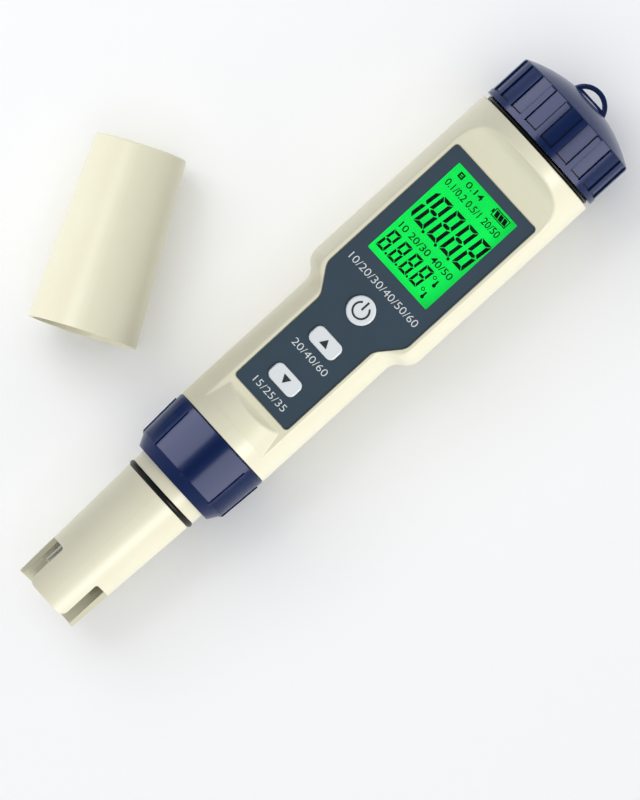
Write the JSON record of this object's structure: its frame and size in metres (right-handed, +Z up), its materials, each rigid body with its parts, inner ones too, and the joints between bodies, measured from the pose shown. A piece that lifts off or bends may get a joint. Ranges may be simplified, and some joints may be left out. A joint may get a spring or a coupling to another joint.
{
  "type": "pool water tester",
  "caption": "Pen-type water quality meter with display, keys, screw collar probe and battery cap, its probe cover beside it.",
  "frame": {"origin": "middle of the narrow flat on the back of the head, on the surface it lies on", "axes": "+X along the tester's axis from probe tip to battery cap, +Z up out of the label face"},
  "size_m": [0.188, 0.0968, 0.0381],
  "materials": {
    "cream_plastic": "moulded ABS, satin",
    "navy_plastic": "moulded ABS, satin",
    "slate_film": "printed polyester film",
    "clear_window": "clear polycarbonate",
    "key_plastic": "pale grey moulded keys",
    "black_rubber": "nitrile rubber",
    "grey_rubber": "silicone and carbon rubber",
    "board_laminate": "green solder mask",
    "chip_plastic": "moulded epoxy",
    "white_plastic": "moulded ABS, white",
    "bright_steel": "nickel-plated or stainless steel",
    "contact_gold": "gold-plated brass",
    "display_green": "lit green liquid crystal film",
    "display_glass": "liquid crystal cell glass",
    "electrode_glass": "thin pH glass",
    "potting_resin": "grey-green epoxy",
    "sponge": "cellulose sponge"
  },
  "bodies": {
    "meter_body": {"backlight_guide": "white_plastic", "backlight_lamps": "white_plastic", "barrel": "cream_plastic", "battery_tray": "chip_plastic", "board_screws": "bright_steel", "button_cell_1": "bright_steel", "button_cell_2": "bright_steel", "button_cell_3": "bright_steel", "button_cell_4": "bright_steel", "circuit_board": "board_laminate", "conductive_strip": "grey_rubber", "display_frame": "white_plastic", "display_glass": "display_glass", "display_polariser": "display_green", "display_window": "clear_window", "down_switch": "bright_steel", "inner_chassis": "white_plastic", "key_gasket": "grey_rubber", "label": "slate_film", "leaf_contact_left": "bright_steel", "leaf_contact_right": "bright_steel", "main_chip": "chip_plastic", "measuring_chip": "chip_plastic", "pin_socket": "chip_plastic", "power_switch": "bright_steel", "quartz_crystal": "bright_steel", "small_passives": "chip_plastic", "socket_contacts": "contact_gold", "storage_capacitor": "chip_plastic", "up_switch": "bright_steel"},
    "power_button": {"power_key": "key_plastic", "power_plunger": "chip_plastic"},
    "up_button": {"up_key": "key_plastic", "up_plunger": "chip_plastic"},
    "down_button": {"down_key": "key_plastic", "down_plunger": "chip_plastic"},
    "probe": {"probe_sleeve": "cream_plastic", "probe_seal_ring": "black_rubber", "probe_potting": "potting_resin", "glass_electrode": "electrode_glass", "electrode_wire": "bright_steel", "conductivity_pins": "bright_steel", "temperature_sensor": "bright_steel", "reference_junction": "white_plastic", "probe_plug": "chip_plastic", "plug_pins": "contact_gold", "probe_gasket": "black_rubber"},
    "screw_collar": {"collar": "navy_plastic"},
    "cap_seal": {"cap_seal_ring": "black_rubber"},
    "screw_cap": {"battery_cap": "navy_plastic", "contact_disc": "bright_steel", "pressure_pad": "black_rubber"},
    "loose_cover": {"probe_cover": "cream_plastic", "storage_sponge": "sponge"}
  },
  "joints": [
    {"name": "power_press", "type": "slide", "parent": "meter_body", "child": "power_button", "axis": [0, 0, -1], "range_m": [0, 0.0005], "stiffness_N_per_m": 1500},
    {"name": "up_press", "type": "slide", "parent": "meter_body", "child": "up_button", "axis": [0, 0, -1], "range_m": [0, 0.0005], "stiffness_N_per_m": 1500},
    {"name": "down_press", "type": "slide", "parent": "meter_body", "child": "down_button", "axis": [0, 0, -1], "range_m": [0, 0.0005], "stiffness_N_per_m": 1500},
    {"name": "probe_travel", "type": "slide", "parent": "meter_body", "child": "probe", "axis": [-1, 0, 0], "range_m": [0, 0.009]},
    {"name": "collar_turn", "type": "hinge", "parent": "probe", "child": "screw_collar", "pos_m": [-0.0873, 0, 0.019], "axis": [-1, 0, 0], "range_deg": [0, 1080]},
    {"name": "cap_travel", "type": "slide", "parent": "meter_body", "child": "cap_seal", "axis": [1, 0, 0], "range_m": [0, 0.009]},
    {"name": "cap_turn", "type": "hinge", "parent": "cap_seal", "child": "screw_cap", "pos_m": [0.0347, 0, 0.019], "axis": [1, 0, 0], "range_deg": [0, 1080]},
    {"name": "cover_lift", "type": "slide", "parent": "meter_body", "child": "loose_cover", "axis": [0, 0, 1], "range_m": [0, 0.06]}
  ],
  "couplings": [
    {"joint": "probe_travel", "follows": "collar_turn", "m_per_rad": 0.00047746},
    {"joint": "cap_travel", "follows": "cap_turn", "m_per_rad": 0.00047746}
  ]
}
